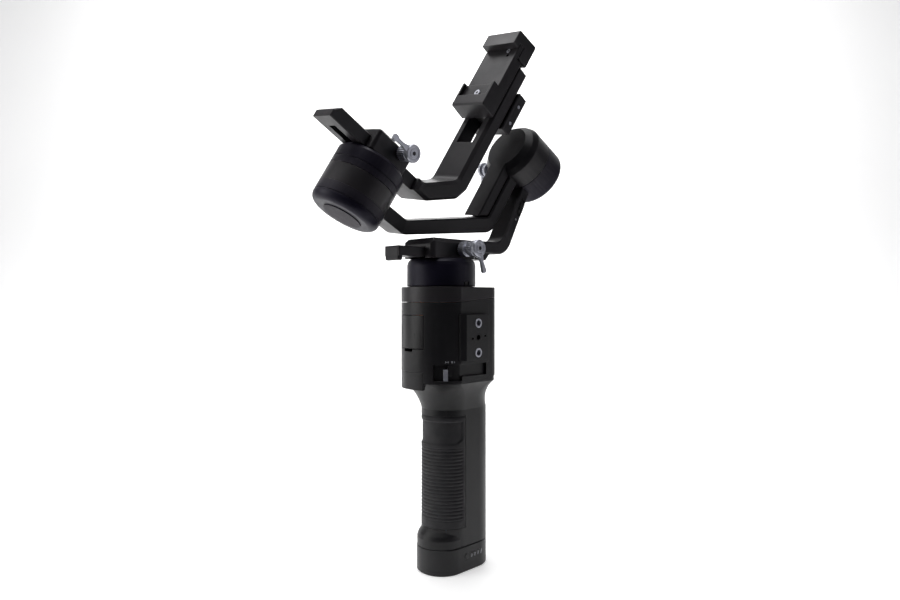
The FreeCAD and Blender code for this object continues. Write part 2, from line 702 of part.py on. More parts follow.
def build_pan():
    shaft, radius = dim.shaft_radius, dim.motor_radius
    bore, well = bearing_seat(), 20.8
    keep("pan_stator", turned("pan_stator", WORLD, [
        (bore, 176.5), (well, 176.5), (well, 195.4), (bore, 195.4)]))
    bearing_pair("pan_bearings", WORLD, (177.0, 190.5))
    rotor = turned("pan_rotor_turn", WORLD, [
        (0, 177.2), (shaft, 177.2), (shaft, dim.rotor_base), (radius, dim.rotor_base),
        (radius, 211.5), (radius - 0.5, 213.6), (radius - 1.6, 215.2), (radius - 3.4, dim.rotor_top),
        (0, dim.rotor_top)],
        rounds=[(radius, dim.rotor_base, 0.5)])
    notch = block("pan_lock_slot", WORLD, (22.4, 25), (-1.6, 3.2), (197.6, 200.2))
    keep("pan_rotor", cut("pan_rotor", rotor, [notch]))
    keep("pan_lock_tab", block("pan_lock_tab", WORLD, (22.6, 24.4), (-1.3, 1.1), (197.9, 199.9)))

    half = 15.2
    plan = plate("pan_clamp_plan", WORLD, [
        (-half, -22.5), (half, -22.5), (half, 21), (-half, 21)],
        dim.rotor_top, dim.head_top, rounds=[(0, 3.6), (1, 3.6), (2, 5.0), (3, 5.0)])
    profile = plate("pan_clamp_profile", SIDE, [
        (-22.5, dim.rotor_top), (-22.5, 225.4), (-19.2, dim.head_top), (19.6, dim.head_top), (21, 228.2),
        (21, dim.rotor_top)], -half, half)
    front_view = plate("pan_clamp_front", frame(V(0, 0, 0), V(1, 0, 0), V(0, 0, 1)), [
        (-half, dim.rotor_top), (half, dim.rotor_top), (half, 226.6), (half - 2.6, dim.head_top),
        (2.6 - half, dim.head_top), (-half, 226.6)], -30, 30)
    clamp = common("pan_clamp_solid", common("pan_clamp_block", plan, profile), front_view)
    gap = dim.clamp_gap
    rail_slot = block(
        "rail_slot", WORLD, (-dim.rail_half - gap, dim.rail_half + gap), (-30, 30),
        (dim.rotor_top - 1, dim.rail_top + gap))
    bolt_hole = peg("pan_bolt_hole", V(9.0, 4.5, 222.4), V(1, 0, 0), 2.55, 10)
    keep("pan_clamp", cut("pan_clamp", clamp, [rail_slot, bolt_hole]))

    lever = lever_shape("pan_lever", V(10.0, 4.5, 222.4), V(1, 0, 0), V(0, 0.33, -0.94), 6.2, 19.6, 17.5)
    keep("pan_lever", lever)


def lever_shape(name, start, direction, handle, barrel_from, disc_from, reach, second_collar=True):
    """Clamp lever: screw, two knurled collars, disc and a slim handle.

    start is the screw's inner end; barrel_from and disc_from are distances
    from it along the screw; the handle leaves the disc along `handle`.
    """
    direction = V(direction).normalize()
    handle = V(handle).normalize()
    place = frame(start, handle, direction.cross(handle))
    screw = cylinder(name + "_screw", place, 0, 0, 2.5, 0, barrel_from + 1)
    first_end = barrel_from + 5.4 if second_collar else disc_from - 1.2
    pieces = [screw, cylinder(name + "_collar_1", place, 0, 0, 5.3, barrel_from, first_end)]
    if second_collar:
        pieces.append(cylinder(name + "_waist", place, 0, 0, 3.6, first_end - 0.4, first_end + 2.0))
        pieces.append(cylinder(name + "_collar_2", place, 0, 0, 5.0, first_end + 1.6, disc_from - 1.4))
    neck = cylinder(name + "_neck", place, 0, 0, 3.4, disc_from - 2, disc_from + 0.5)
    disc = cylinder(name + "_disc", place, 0, 0, dim.lever_radius, disc_from, disc_from + 3.4)
    arm = plate(name + "_arm", place, [
        (2.0, -3.4), (8.0, -1.9), (reach - 1.5, -2.5), (reach, -1.6), (reach, 1.6),
        (reach - 1.5, 2.5), (8.0, 1.9), (2.0, 3.4)], disc_from + 0.3, disc_from + 3.0)
    socket = cylinder(name + "_socket", place, 0, 0, 1.5, disc_from + 2.2, disc_from + 4)
    solid = fused(name + "_solid", pieces + [neck, disc, arm])
    return cut(name, solid, [socket])


def build_pan_arm():
    half = dim.pan_arm_half
    near, far = dim.pan_arm_near.value, dim.pan_arm_far.value
    across = V(0, -math.sin(slope), -math.cos(slope))

    def at(reach, drop):
        """Side-view point: reach along the roll axis, drop below it."""
        point = cross + roll_back * reach + across * drop
        return (point.y, point.z)

    def at_height(reach, height):
        """Side-view point on one upright plane of the arm, at a given height."""
        return at(reach, (cross.z - reach * math.sin(slope) - height) / math.cos(slope))

    floor = dim.rotor_top.value + 0.6
    low, high = dim.pan_arm_low.value, dim.pan_arm_high.value
    rise = plate("pan_arm_rise", SIDE, [
        (26, low), (26, high), at_height(near, high), at(near, 0), at(far, 0), at_height(far, low)],
        -half, half, rounds=[(2, 12.0), (5, 17.0)], soften=0.9)
    rail = plate("pan_rail", SIDE, [
        (dim.rail_front, floor), (dim.rail_front, dim.rail_top), (44, dim.rail_top), (38, floor)],
        -dim.rail_half, dim.rail_half, soften=0.6)
    motor_room = cylinder("roll_motor_room", ROLL_SPIN, 0, 0, dim.motor_radius + 0.02, 110, 140)
    recess = pan_arm_block("lock_recess", (119.4, 124.6), (30.6, 45.4), (half - 1.2, half + 1))
    dot = peg("roll_dot_hole", V(half.value - 0.6, *at(121.3, 49.0)), V(1, 0, 0), 0.9, 2)
    arm = fused("pan_arm_solid", [rise, rail])
    keep("pan_arm", cut("pan_arm", arm, [motor_room, recess, dot]))
    keep("roll_dot", peg("roll_dot", V(half.value - 0.55, *at(121.3, 49.0)), V(1, 0, 0), 0.85, 0.55))

    base = pan_arm_block("roll_lock_base", (119.7, 124.3), (33.4, 42.6), (half - 1.1, half + 0.2))
    ribs = [
        pan_arm_block("roll_lock_rib_%d" % i, (120.1, 123.9), (34.0 + 1.7 * i, 34.9 + 1.7 * i),
                      (half, half + 1.1))
        for i in range(5)
    ]
    keep("roll_lock", fused("roll_lock", [base] + ribs))


def pan_arm_block(name, reach, drop, x):
    """Box on the pan arm, given by reach and drop from the roll axis."""
    across = V(0, -math.sin(slope), -math.cos(slope))
    place = frame(cross, roll_back, across)
    thing = doc.addObject("Part::Box", name)
    low_x, high_x = sized(x[0]), sized(x[1])
    bind(thing, "Length", reach[1] - reach[0])
    bind(thing, "Width", drop[1] - drop[0])
    bind(thing, "Height", high_x - low_x)
    # Local Z of this frame is world -X.
    corner = V(reach[0], drop[0], -high_x.value)
    thing.Placement = place.multiply(FreeCAD.Placement(corner, FreeCAD.Rotation()))
    return thing


# ---------------------------------------------------------------------- roll
def build_roll_motor():
    seat, radius, end = bearing_seat(), dim.motor_radius, dim.roll_motor_end
    keep("roll_motor", turned("roll_motor", ROLL_SPIN, [
        (seat, dim.pan_arm_near), (radius, dim.pan_arm_near), (radius, end),
        (0, end), (0, end - 2.5), (seat, end - 2.5)], rounds=[(radius, end, 4.5)]))
    bearing_pair("roll_bearings", ROLL_SPIN, (116.8, 128.4))


def build_roll_arm():
    near, far, half = dim.arm_near, dim.arm_far, dim.arm_half
    inner, outer = dim.arm_inner, dim.arm_outer
    elbow, knee = dim.arm_elbow, dim.arm_knee
    bar = plate("roll_arm_bar", YOKE, [
        (near, 0), (far, 0), (far, elbow), (knee, outer), (0, outer), (0, inner), (knee - 3.0, inner), 
        (near, elbow + 7.6)],
        -half, half, rounds=[(2, 12.0), (3, 9.0), (6, 5.0), (7, 1.0)], soften=1.0)
    radius, shaft = dim.motor_radius, dim.shaft_radius
    roll_ring = turned("roll_arm_ring", ROLL_SPIN, [
        (0, near), (radius, near), (radius, dim.pan_arm_near - 0.4), (shaft + 6, dim.pan_arm_near - 0.4),
        (shaft, dim.pan_arm_near - 0.4), (shaft, 132.6), (0, 132.6)])
    seat = bearing_seat()
    tilt_ring = turned("tilt_arm_ring", TILT_SPIN, [
        (seat, outer), (radius, outer), (radius, dim.tilt_seam - 0.4), (seat, dim.tilt_seam - 0.4)])
    bolt = peg("roll_bolt_hole", along(YOKE, 106.2, -12.0, -11.5), axis_of(YOKE, 0, 0, -1), 2.55, 16)
    bore = cylinder("tilt_shaft_bore", TILT_SPIN, 0, 0, seat, outer - 1, dim.tilt_seam)
    keep("roll_arm", cut("roll_arm", fused("roll_arm_solid", [bar, roll_ring, tilt_ring]), [bolt, bore]))

    cover_half = dim.cover_half
    strip = plate("cover_strip", YOKE, [
        (dim.cover_near, 0), (near - 0.1, 0), (near - 0.1, elbow + 8.8), (dim.cover_near, elbow + 3.2)],
        -cover_half, cover_half, soften=0.8)
    cable_room = block("cable_room", YOKE, (95.2, 98.8), (-46, -29), (-4.3, 4.3))
    cap = turned("cover_cap", ROLL_SPIN, [
        (0, dim.cover_near), (17.6, dim.cover_near), (radius - 2.2, near - 4.4), (radius, near - 0.1),
        (0, near - 0.1)])
    cover = fused("roll_arm_cover_solid", [strip, cap])
    keep("roll_arm_cover", cut("roll_arm_cover", cover, [cable_room]))

    start = along(YOKE, 106.2, -12.0, -12.0)
    keep("roll_lever", lever_shape(
        "roll_lever", start, axis_of(YOKE, 0, 0, -1), axis_of(YOKE, 0.35, -1, 0), 11.5, 16.0, 16.0, False))
    keep("roll_cable", block("roll_cable", YOKE, (95.5, 98.5), (-45, -30), (-4, 4)))


def build_tilt_motor():
    radius, shaft, bearing = dim.motor_radius, dim.shaft_radius, dim.bearing_radius
    end = dim.tilt_end
    keep("tilt_motor", turned("tilt_motor", TILT_SPIN, [
        (0, end), (radius, end), (radius, end + 6.0), (radius - 0.5, end + 6.0), (radius - 0.5, end + 6.5),
        (radius, end + 6.5), (radius, dim.arm_outer - 0.1), (bearing + 3, dim.arm_outer - 0.1),
        (bearing + 3, end + 3.5), (0, end + 3.5)], rounds=[(radius, end, 5.5)]))
    keep("tilt_coil", turned("tilt_coil", TILT_SPIN, [
        (bearing_seat(), -120.5), (bearing + 2.8, -120.5),
        (bearing + 2.8, -112.0), (bearing_seat(), -112.0)]))
    bearing_pair("tilt_bearings", TILT_SPIN, (-116.5, -105.5))
    keep("tilt_badge", cylinder("tilt_badge", TILT_SPIN, 0, 0, 13.5, end - 0.6, end))

    keep("tilt_rotor", turned("tilt_rotor", TILT_SPIN, [
        (0, -117.5), (shaft, -117.5), (shaft, dim.tilt_seam), (radius, dim.tilt_seam),
        (radius, dim.tilt_ring - 0.5), (radius - 0.6, dim.tilt_ring - 0.5), (radius - 0.6, dim.tilt_ring),
        (radius, dim.tilt_ring),
        (radius, dim.tilt_top - 2.0), (radius - 1.6, dim.tilt_top), (0, dim.tilt_top)]))


# ---------------------------------------------------------------------- tilt
def build_tilt_clamp():
    high, half = dim.slot_rail_high, dim.slot_rail_half
    clamp = plate("tilt_clamp_solid", CLAMP_TOP, [
        (-16, -17), (16, -17), (16, 16), (-16, 16)],
        dim.tilt_top, -67.5, rounds=[(i, 3.0) for i in range(4)], soften=1.2)
    gap = dim.clamp_gap
    tunnel = block(
        "tilt_tunnel", CRADLE, (-30, 30), (dim.tilt_top - 1, high + gap), (-half - gap, half + gap))
    bolt = peg("tilt_bolt_hole", along(CRADLE, 6.0, -70.4, 9.5), axis_of(CRADLE, 0, 0, 1), 2.55, 12)
    keep("tilt_clamp", cut("tilt_clamp", clamp, [tunnel, bolt]))
    start = along(CRADLE, 6.0, -70.4, 11.8)
    keep("tilt_lever", lever_shape(
        "tilt_lever", start, axis_of(CRADLE, 0, 0, 1),
        axis_of(CRADLE, -1.0, -0.12, 0), 4.6, 13.6, 19.0, False))


def build_tilt_arm():
    low, high, half = dim.slot_rail_low, dim.slot_rail_high, dim.slot_rail_half
    near, far, wide = dim.plate_near, dim.plate_far, dim.plate_half
    free = -48.0
    rail = plate("tilt_rail", CRADLE, [
        (free, low), (31, low), (31, high), (free + 4.4, high), (free, high - 4.4)],
        -half, half, soften=0.7)
    knee = plate("tilt_knee", CRADLE, [
        (30, low), (43.6, low), (far - 4.5, -65.2), (far, -54.5), (far, dim.plate_end), (near, dim.plate_end),
        (near, -54.5), (35.6, high), (30, high)],
        -wide, wide, rounds=[(1, 5.0), (2, 8.0), (6, 8.0), (7, 6.0)])
    rim = level_edges(knee.Tip.Shape, wide.value) + level_edges(knee.Tip.Shape, -wide.value)
    dress(knee, "Chamfer", knee.Tip, rim, 2.2)
    slot = block("rail_long_slot", CRADLE, (-38.4, -4.0), (low - 1, high + 1), (-3.4, 3.4))
    window = block("plate_window", CRADLE, (near - 1, far + 1), (-21.0, 42.0), (-8.4, 8.4))
    arm = fused("tilt_arm_solid", [rail, knee])
    keep("tilt_arm", cut("tilt_arm", arm, [slot, window]))


# -------------------------------------------------------------- camera clamp
def build_camera_clamp():
    half, tip, bed = dim.clamp_half, dim.jaw_tip, dim.bed
    near, far = dim.plate_near - 0.2, dim.plate_far + 0.2
    towards_plate, sideways = axis_of(CRADLE, 1, 0, 0), axis_of(CRADLE, 0, 0, 1)
    base = plate("clamp_base_solid", CRADLE, [
        (tip, 1.8), (near, 0.8), (near, 49.6), (bed + 4.2, 49.6), (bed + 4.2, 60.2), (bed, 60.2),
        (bed, 22.2), (tip, 22.2)],
        -half, half, rounds=[(0, 1.5)], soften=0.5)
    recess = block("jaw_recess", CRADLE, (tip - 1, tip + 3.0), (10.6, 23), (2.2 - half, half - 2.6))
    neck = block("clamp_neck", CRADLE, (near - 1, far + 1), (5.0, 30.0), (-7.6, 7.6))
    tongue_slot = block("tongue_slot", CRADLE, (bed + 4.4, bed + 7.9), (23.5, 51), (-9.2, 9.2))
    holes = [
        peg("jaw_screw_hole", along(CRADLE, tip + 1, 14.4, 1.2), towards_plate, 2.45, 9),
        peg("bed_screw_hole", along(CRADLE, bed - 1, 54.6, 7.7), towards_plate, 1.65, 3.5),
        peg("bed_hole", along(CRADLE, bed - 1, 50.6, 9.0), towards_plate, 1.2, 3.5),
        peg("knob_bore", along(CRADLE, far - 4, 17.5, 0), towards_plate, 3.05, 12),
    ]
    base_all = fused("clamp_base_fused", [base, neck])
    keep("clamp_base", cut("clamp_base", base_all, [recess, tongue_slot] + holes))
    keep("jaw_bolt", peg("jaw_bolt", along(CRADLE, tip + 2.3, 14.4, 1.2), towards_plate, 2.4, 7))
    keep("bed_screw", peg("bed_screw", along(CRADLE, bed - 0.5, 54.6, 7.7), towards_plate, 1.6, 2.9))

    rear = plate("rear_block_solid", CRADLE, [
        (far, 0.6), (far + 7.2, 0.6), (far + 9.1, 2.5), (far + 9.1, 33.1), (far, 33.1)],
        -half, half, soften=0.6)
    knob_room = peg("knob_room", along(CRADLE, far - 1, 17.5, 0), towards_plate, 3.6, 14)
    neck_room = block("neck_room", CRADLE, (far - 1, far + 1.2), (4.8, 30.2), (-7.8, 7.8))
    side_spots = ((far + 4.6, 24.0), (far + 4.6, 9.0))
    side_holes = [
        peg("rear_screw_hole_%d" % i, along(CRADLE, reach, up, half - 0.9), sideways, 1.35, 2)
        for i, (reach, up) in enumerate(side_spots)
    ]
    keep("rear_block", cut("rear_block", rear, [knob_room, neck_room] + side_holes))
    group("rear_screws", [
        peg("rear_screw_%d" % i, along(CRADLE, reach, up, half - 0.85), sideways, 1.3, 0.9)
        for i, (reach, up) in enumerate(side_spots)
    ])
    knob_head = peg("clamp_knob_head", along(CRADLE, far + 9.4, 17.5, 0), towards_plate, 9.0, 4.2)
    knob_stem = peg("clamp_knob_stem", along(CRADLE, far - 3.8, 17.5, 0), towards_plate, 3.0, 13)
    keep("clamp_knob", fused("clamp_knob", [knob_head, knob_stem]))

    jaw = plate("top_jaw_solid", CRADLE, [
        (tip - 1.1, 56.2), (bed - 0.3, 56.2), (bed - 0.3, 60.5), (bed + 4.4, 60.5), (bed + 4.4, 51.4),
        (bed + 15, 51.4), (bed + 15, 70.3), (tip - 1.1, 68.0)],
        -half, half, rounds=[(6, 1.6), (7, 1.6)], soften=0.5)
    tongue = block("jaw_tongue", CRADLE, (bed + 4.6, bed + 7.7), (24.0, 52.0), (-9.0, 9.0))
    keep("top_jaw", fused("top_jaw", [jaw, tongue]))


# --------------------------------------------------------------------- build
build_grip()
build_body()
build_controls()
build_pan()
build_pan_arm()
build_roll_motor()
build_roll_arm()
build_tilt_motor()
build_tilt_clamp()
build_tilt_arm()
build_camera_clamp()
doc.recompute()

failed = [thing.Label for thing in doc.Objects if "Invalid" in thing.State or "Error" in thing.State]
for label, thing in nodes.items():
    shape = thing.Shape
    if shape.isNull() or not shape.isValid() or not shape.Solids:
        failed.append(label)
if failed:
    raise SystemExit("failed objects: " + ", ".join(failed))

os.makedirs("parts", exist_ok=True)
for label, thing in nodes.items():
    thing.Shape.exportStep("parts/%s.step" % label)
    print("%-18s %9.1f mm3  %d solid(s)" % (label, thing.Shape.Volume, len(thing.Shape.Solids)))
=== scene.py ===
"""Looks of the hand-held camera gimbal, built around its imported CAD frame. Metres, +Z up."""

import json
import math

import bmesh
import bpy
from mathutils import Matrix, Vector


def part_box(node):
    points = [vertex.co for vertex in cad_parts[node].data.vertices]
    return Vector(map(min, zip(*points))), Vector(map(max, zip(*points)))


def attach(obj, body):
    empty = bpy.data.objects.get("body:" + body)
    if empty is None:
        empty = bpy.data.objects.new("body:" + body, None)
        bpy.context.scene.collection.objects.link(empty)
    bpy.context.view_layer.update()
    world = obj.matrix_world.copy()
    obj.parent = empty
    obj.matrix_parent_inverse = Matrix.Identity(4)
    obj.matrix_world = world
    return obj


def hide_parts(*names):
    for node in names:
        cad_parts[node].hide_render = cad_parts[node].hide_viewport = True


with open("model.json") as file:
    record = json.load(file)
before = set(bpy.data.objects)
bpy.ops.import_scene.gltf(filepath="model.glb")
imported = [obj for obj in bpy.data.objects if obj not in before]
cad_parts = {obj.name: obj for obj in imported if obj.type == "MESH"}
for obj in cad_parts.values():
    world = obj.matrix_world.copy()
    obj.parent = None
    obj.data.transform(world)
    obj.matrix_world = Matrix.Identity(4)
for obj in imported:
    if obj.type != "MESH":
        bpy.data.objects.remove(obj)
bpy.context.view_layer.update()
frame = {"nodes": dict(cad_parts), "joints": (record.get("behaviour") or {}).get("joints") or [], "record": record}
MM = 0.001


# ------------------------------------------------------------------ materials
class Nodes:
    """Short way to build one node material."""

    def __init__(self, name):
        self.material = bpy.data.materials.new(name)
        self.material.use_nodes = True
        self.tree = self.material.node_tree
        self.shader = self.tree.nodes["Principled BSDF"]
        self.place = self.add("ShaderNodeTexCoord").outputs["Object"]

    def add(self, kind, **inputs):
        node = self.tree.nodes.new(kind)
        for key, value in inputs.items():
            self.feed(node.inputs[key.replace("_", " ")], value)
        return node

    def feed(self, socket, value):
        if isinstance(value, bpy.types.NodeSocket):
            self.tree.links.new(value, socket)
        else:
            socket.default_value = value

    def noise(self, scale, detail=3.0, rough=0.55, stretch=None):
        place = self.place
        if stretch:
            place = self.add("ShaderNodeMapping", Vector=place, Scale=stretch).outputs["Vector"]
        node = self.add("ShaderNodeTexNoise", Vector=place, Scale=scale, Detail=detail, Roughness=rough)
        return node.outputs["Fac"]

    def cells(self, scale):
        return self.add("ShaderNodeTexVoronoi", Vector=self.place, Scale=scale).outputs["Distance"]

    def spread(self, factor, low, high, start=0.3, end=0.7):
        node = self.add("ShaderNodeMapRange", Value=factor)
        for key, value in (("From Min", start), ("From Max", end), ("To Min", low), ("To Max", high)):
            node.inputs[key].default_value = value
        return node.outputs["Result"]

    def blend(self, factor, one, other):
        node = self.tree.nodes.new("ShaderNodeMix")
        node.data_type = "RGBA"
        self.feed(node.inputs[0], factor)
        for socket, value in ((node.inputs[6], one), (node.inputs[7], other)):
            self.feed(socket, value if isinstance(value, bpy.types.NodeSocket) else (*value, 1.0))
        return node.outputs[2]

    def relief(self, height, distance, strength=1.0, normal=None):
        node = self.add("ShaderNodeBump", Height=height, Distance=distance, Strength=strength)
        if normal is not None:
            self.feed(node.inputs["Normal"], normal)
        return node.outputs["Normal"]

    def soft_edge(self, radius):
        node = self.add("ShaderNodeBevel", Radius=radius)
        node.samples = 6
        return node.outputs["Normal"]

    def edges(self, low=0.52, high=0.60):
        """1 on worn outer edges, 0 on flats."""
        pointed = self.add("ShaderNodeNewGeometry").outputs["Pointiness"]
        return self.spread(pointed, 0.0, 1.0, low, high)

    def finish(self, colour, roughness, normal, metallic=0.0, **more):
        self.feed(self.shader.inputs["Base Color"], colour)
        self.feed(self.shader.inputs["Roughness"], roughness)
        self.feed(self.shader.inputs["Normal"], normal)
        self.shader.inputs["Metallic"].default_value = metallic
        for key, value in more.items():
            self.shader.inputs[key.replace("_", " ")].default_value = value
        return self.material


def moulded_plastic(name, dark, light, rough=0.5, shine=0.3, grain=9000.0, depth=0.00004):
    """Fine-grained moulding with faint handling marks."""
    n = Nodes(name)
    cloud = n.noise(38.0, 4.0)
    fine = n.noise(grain, 2.0, 0.7)
    smear = n.noise(90.0, 5.0, 0.65, (1.0, 1.0, 0.35))
    colour = n.blend(n.spread(cloud, 0.0, 1.0), dark, light)
    worn = n.blend(n.spread(n.edges(), 0.0, 0.25, 0.0, 1.0), colour, tuple(2.2 * c for c in light))
    roughness = n.spread(smear, rough - 0.07, rough + 0.08)
    normal = n.relief(fine, depth, 0.5, n.soft_edge(0.35 * MM))
    return n.finish(worn, roughness, normal, Specular_IOR_Level=shine)


def anodised(name, dark, light, rough=0.38, metallic=0.55, shine=0.34):
    """Bead-blasted, black anodised aluminium with a violet cast, faint on most parts, painted into its colours as
    a reflection of violet surroundings.
    """
    n = Nodes(name)
    cloud = n.noise(24.0, 3.0)
    blast = n.noise(7000.0, 2.0, 0.75)
    smear = n.noise(70.0, 5.0, 0.6)
    colour = n.blend(n.spread(cloud, 0.0, 1.0), dark, light)
    edge = n.spread(n.edges(0.53, 0.62), 0.0, 0.35, 0.0, 1.0)
    worn = n.blend(edge, colour, (0.060, 0.055, 0.060))
    roughness = n.spread(smear, rough - 0.06, rough + 0.08)
    normal = n.relief(blast, 0.00003, 0.45, n.soft_edge(0.45 * MM))
    return n.finish(worn, roughness, normal, metallic, Specular_IOR_Level=shine)


def rubber(name):
    """Soft-touch rubber: matt, slightly dusty, with fine pores."""
    n = Nodes(name)
    cloud = n.noise(55.0, 5.0, 0.6)
    pores = n.cells(2600.0)
    colour = n.blend(n.spread(cloud, 0.0, 1.0), (0.0072, 0.0068, 0.0084), (0.0125, 0.0118, 0.0142))
    roughness = n.spread(n.noise(120.0, 4.0), 0.60, 0.78)
    normal = n.relief(pores, 0.00007, 0.55, n.soft_edge(0.4 * MM))
    return n.finish(colour, roughness, normal, Specular_IOR_Level=0.38, Sheen_Weight=0.08)


def steel(name, tint=(0.50, 0.51, 0.57), rough=0.34):
    """Turned, satin-bright steel."""
    n = Nodes(name)
    turned = n.noise(900.0, 2.0, 0.5, (1.0, 1.0, 6.0))
    stains = n.noise(140.0, 5.0, 0.6)
    darker = tuple(0.72 * c for c in tint)
    colour = n.blend(n.spread(stains, 0.0, 1.0), darker, tint)
    roughness = n.spread(turned, rough - 0.06, rough + 0.10)
    normal = n.relief(turned, 0.00002, 0.35, n.soft_edge(0.2 * MM))
    return n.finish(colour, roughness, normal, 0.72)


def copper(name):
    n = Nodes(name)
    wire = n.noise(500.0, 2.0, 0.5, (1.0, 1.0, 9.0))
    colour = n.blend(n.spread(wire, 0.0, 1.0), (0.30, 0.11, 0.04), (0.62, 0.27, 0.12))
    normal = n.relief(wire, 0.0002, 0.6)
    return n.finish(colour, n.spread(wire, 0.25, 0.45), normal, 0.9)


def board(name):
    n = Nodes(name)
    tracks = n.cells(420.0)
    colour = n.blend(n.spread(tracks, 0.0, 1.0, 0.35, 0.42), (0.012, 0.10, 0.045), (0.03, 0.20, 0.09))
    return n.finish(colour, n.spread(tracks, 0.3, 0.5), n.relief(tracks, 0.00005, 0.5))


def lamp(name, tint=(0.30, 0.31, 0.33), glow=0.0):
    """Frosted light window."""
    n = Nodes(name)
    frost = n.noise(3000.0, 3.0)
    colour = n.blend(n.spread(frost, 0.0, 1.0), tuple(0.8 * c for c in tint), tint)
    n.shader.inputs["Emission Color"].default_value = (*tint, 1.0)
    normal = n.relief(frost, 0.00002, 0.4)
    return n.finish(colour, n.spread(frost, 0.3, 0.45), normal, Emission_Strength=glow)


MATERIALS = {
    "body_plastic": moulded_plastic(
        "body_plastic", (0.0042, 0.0040, 0.0048), (0.0068, 0.0064, 0.0076), 0.40),
    "collar_metal": anodised(
        "collar_metal", (0.0045, 0.0042, 0.0052), (0.0070, 0.0065, 0.0080), 0.38, 0.2),
    "grip_rubber": rubber("grip_rubber"),
    "arm_metal": anodised(
        "arm_metal", (0.0068, 0.0062, 0.0078), (0.0110, 0.0100, 0.0125), 0.38, 0.25),
    # motor_shell: the strong violet in both colours is a painted reflection of violet surroundings
    "motor_shell": anodised(
        "motor_shell", (0.0058, 0.0048, 0.0125), (0.0090, 0.0074, 0.0185), 0.42, 0.2, 0.2),
    "badge_grey": moulded_plastic(
        "badge_grey", (0.034, 0.031, 0.036), (0.044, 0.040, 0.047), 0.62, 0.1),
    "steel": steel("steel"),
    "bearing_steel": steel("bearing_steel", (0.45, 0.45, 0.46), 0.22),
    "stator": copper("stator"),
    "control_dark": moulded_plastic(
        "control_dark", (0.0055, 0.0055, 0.0060), (0.0095, 0.0090, 0.0098), 0.34),
    "record_red": moulded_plastic("record_red", (0.33, 0.016, 0.014), (0.46, 0.03, 0.024), 0.34),
    "led": lamp("led"),
    "cell_wrap": moulded_plastic("cell_wrap", (0.03, 0.12, 0.26), (0.05, 0.17, 0.34), 0.3),
    "board": board("board"),
    "contact_block": moulded_plastic("contact_block", (0.02, 0.02, 0.02), (0.03, 0.03, 0.03), 0.5),
    "cable_jacket": rubber("cable_jacket"),
}


def dress_frame():
    """Every CAD node takes the material of its slot."""
    for entry in frame["record"]["subparts"]:
        node = frame["nodes"][entry["node"]]
        node.data.materials.clear()
        node.data.materials.append(MATERIALS[entry["material_slot"]])


dress_frame()


# --------------------------------------------------------------- mesh helpers
def lattice(mesh, rows, close_rows=False, close_columns=False):
    """Quads between rows of points; rows are lists of equal length."""
    verts = [[mesh.verts.new(point) for point in row] for row in rows]
    row_count, column_count = len(verts), len(verts[0])
    for i in range(row_count if close_rows else row_count - 1):
        for j in range(column_count if close_columns else column_count - 1):
            near, far = verts[i], verts[(i + 1) % row_count]
            k = (j + 1) % column_count
            mesh.faces.new((near[j], near[k], far[k], far[j]))
    return verts


def turned(mesh, place, profile, steps=72, teeth=0, depth=0.0, toothed=()):
    """Revolve (radius, height) pairs in mm about the local Z of a matrix.

    Rows whose index is in `toothed` get a knurled rim of `teeth` teeth.
    """
    rows = []
    for index, (radius, height) in enumerate(profile):
        row = []
        for step in range(steps):
            angle = 2.0 * math.pi * step / steps
            cut = depth * (0.5 - 0.5 * math.cos(teeth * angle)) if index in toothed else 0.0
            reach = (radius - cut) * MM
            row.append(place @ Vector((reach * math.cos(angle), reach * math.sin(angle), height * MM)))
        rows.append(row)
    verts = lattice(mesh, rows, close_columns=True)
    for ring in (verts[0], verts[-1]):
        mesh.faces.new(ring)


def prism(mesh, place, outline, low, high):
    """Extrude an outline in mm along the local Z of a matrix."""
    rows = [[place @ (Vector((x, y, level)) * MM) for x, y in outline] for level in (low, high)]
    verts = lattice(mesh, rows, close_columns=True)
    for ring in verts:
        mesh.faces.new(ring)


def piece(name, mesh, body, slot, soften=0.0, segments=3, sharp=38.0):
    """Turn a finished mesh into a part of the object that rides on a body."""
    bmesh.ops.recalc_face_normals(mesh, faces=mesh.faces[:])
    data = bpy.data.meshes.new(name)
    mesh.to_mesh(data)
    mesh.free()
    data.shade_smooth()
    data.set_sharp_from_angle(angle=math.radians(sharp))
    data.materials.append(MATERIALS[slot])
    thing = bpy.data.objects.new(name, data)
    bpy.context.collection.objects.link(thing)
    if soften:
        bevel = thing.modifiers.new("soft_edges", "BEVEL")
        bevel.width = soften * MM
        bevel.segments = segments
        bevel.limit_method = "ANGLE"
        bevel.angle_limit = math.radians(sharp)
        bevel.harden_normals = True
    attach(thing, body)
    return thing


def axes(origin, z_axis, x_axis):
    """Matrix with its origin in metres, local Z and, as near as it can be, local X."""
    up = Vector(z_axis).normalized()
    side = Vector(x_axis)
    side = (side - up * side.dot(up)).normalized()
    turn = Matrix((side, up.cross(side), up)).transposed().to_4x4()
    return Matrix.Translation(Vector(origin)) @ turn


def joint(name):
    return next(entry for entry in frame["joints"] if entry["name"] == name)


def hexagon(radius):
    """Corners of a hexagon, in mm."""
    corners = [math.radians(60 * step) for step in range(6)]
    return [(radius * math.cos(angle), radius * math.sin(angle)) for angle in corners]


def box_mm(node):
    """Lowest and highest corners of a node, in mm."""
    return [[round(value / MM, 3) for value in corner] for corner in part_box(node)]


def smooth_step(low, high, value):
    amount = min(max((value - low) / (high - low), 0.0), 1.0)
    return amount * amount * (3.0 - 2.0 * amount)


